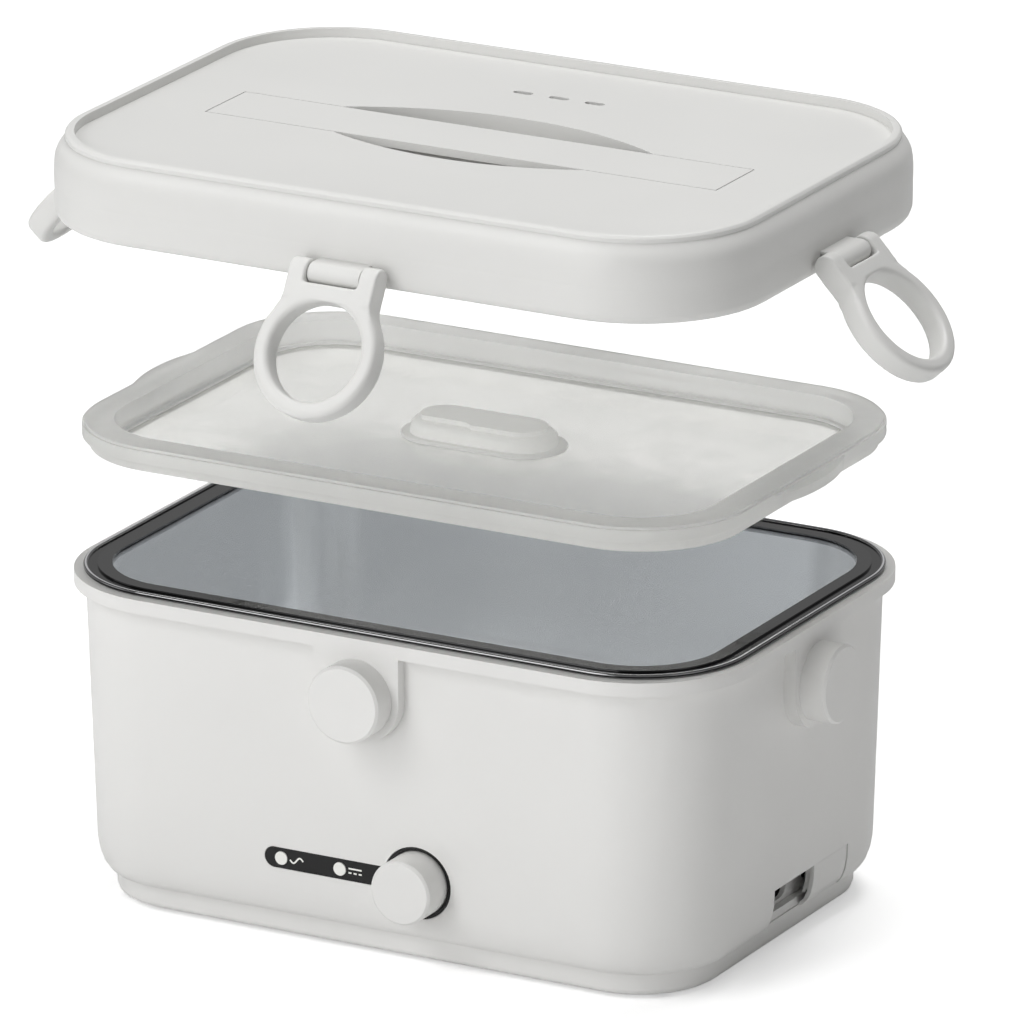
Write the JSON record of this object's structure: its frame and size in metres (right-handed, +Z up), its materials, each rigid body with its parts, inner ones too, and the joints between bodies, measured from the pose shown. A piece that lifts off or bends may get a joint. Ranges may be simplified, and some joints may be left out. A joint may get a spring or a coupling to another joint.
{
  "type": "electric lunch box",
  "caption": "White electric lunch box shown opened out: heated housing with steel tub, sealed inner lid with vent, and outer lid with ring latches that hook over round posts.",
  "frame": {"origin": "centre of the footprint, on the surface that the feet stand on", "axes": "+Z up, -Y the front with the button, +X the side with the power inlet"},
  "size_m": [0.3274, 0.2386, 0.2549],
  "materials": {
    "white_shell": "satin",
    "white_inner": "matte",
    "button_white": "satin",
    "frosted": "frosted, lets light through",
    "seal_silicone": "translucent silicone",
    "tub_steel": "polished stainless",
    "black_gloss": "gloss",
    "black_plastic": "matte",
    "lens": "frosted lens",
    "foot_rubber": "matte",
    "screw_steel": "plated",
    "plate_alloy": "satin",
    "heater_ceramic": "matte",
    "red_silicone": "matte",
    "board_green": "satin"
  },
  "bodies": {
    "housing": {"outer_housing": "white_shell", "base_cover": "white_shell", "rubber_feet": "foot_rubber", "base_screws": "screw_steel", "inner_liner": "white_inner", "plate_seal": "red_silicone", "heating_plate": "plate_alloy", "ptc_heaters": "heater_ceramic", "heater_clamp": "screw_steel", "clamp_screws": "screw_steel", "thermostat": "black_plastic", "thermal_fuse": "heater_ceramic", "control_board": "board_green", "board_screws": "screw_steel", "indicator_leds": "lens", "switch_body": "black_plastic", "indicator_panel": "black_gloss", "lamp_lenses": "lens", "inlet_plate": "white_shell", "ac_socket": "black_plastic", "socket_pins": "screw_steel", "dc_jack": "black_plastic"},
    "button": {"power_button": "button_white", "switch_plunger": "white_inner"},
    "cover": {"inlet_cover": "white_shell"},
    "tub": {"food_tub": "tub_steel"},
    "inner_lid": {"inner_lid_panel": "frosted", "inner_lid_seal": "seal_silicone", "vent_seat": "seal_silicone"},
    "vent": {"vent_plug": "seal_silicone"},
    "lid": {"outer_lid": "white_shell", "lid_liner": "white_inner", "latch_pins": "screw_steel"},
    "handle": {"carry_strap": "white_shell"},
    "front_latch": {"latch_front": "white_shell"},
    "back_latch": {"latch_back": "white_shell"},
    "left_latch": {"latch_left": "white_shell"},
    "right_latch": {"latch_right": "white_shell"}
  },
  "joints": [
    {"name": "tub_lift", "type": "slide", "parent": "housing", "child": "tub", "axis": [0, 0, 1], "range_m": [0, 0.07]},
    {"name": "inner_lid_lift", "type": "slide", "parent": "tub", "child": "inner_lid", "axis": [0, 0, 1], "range_m": [-0.0395, 0]},
    {"name": "vent_plug_lift", "type": "slide", "parent": "inner_lid", "child": "vent", "axis": [0, 0, 1], "range_m": [0, 0.004]},
    {"name": "outer_lid_lift", "type": "slide", "parent": "inner_lid", "child": "lid", "axis": [0, 0, 1], "range_m": [-0.0765, 0]},
    {"name": "handle_lift", "type": "slide", "parent": "lid", "child": "handle", "axis": [0, 0, 1], "range_m": [0, 0.008]},
    {"name": "front_latch_swing", "type": "hinge", "parent": "lid", "child": "front_latch", "pos_m": [0, -0.0937, 0.2314], "axis": [1, 0, 0], "range_deg": [-59, 36]},
    {"name": "back_latch_swing", "type": "hinge", "parent": "lid", "child": "back_latch", "pos_m": [0, 0.0937, 0.2314], "axis": [-1, 0, 0], "range_deg": [-59, 36]},
    {"name": "left_latch_swing", "type": "hinge", "parent": "lid", "child": "left_latch", "pos_m": [-0.1297, 0, 0.2314], "axis": [0, -1, 0], "range_deg": [-45, 50]},
    {"name": "right_latch_swing", "type": "hinge", "parent": "lid", "child": "right_latch", "pos_m": [0.1297, 0, 0.2314], "axis": [0, 1, 0], "range_deg": [-45, 50]},
    {"name": "button_press", "type": "slide", "parent": "housing", "child": "button", "axis": [0, 1, 0], "range_m": [0, 0.0022], "stiffness_N_per_m": 400},
    {"name": "inlet_cover_slide", "type": "slide", "parent": "housing", "child": "cover", "axis": [0, -1, 0], "range_m": [0, 0.0275]}
  ]
}
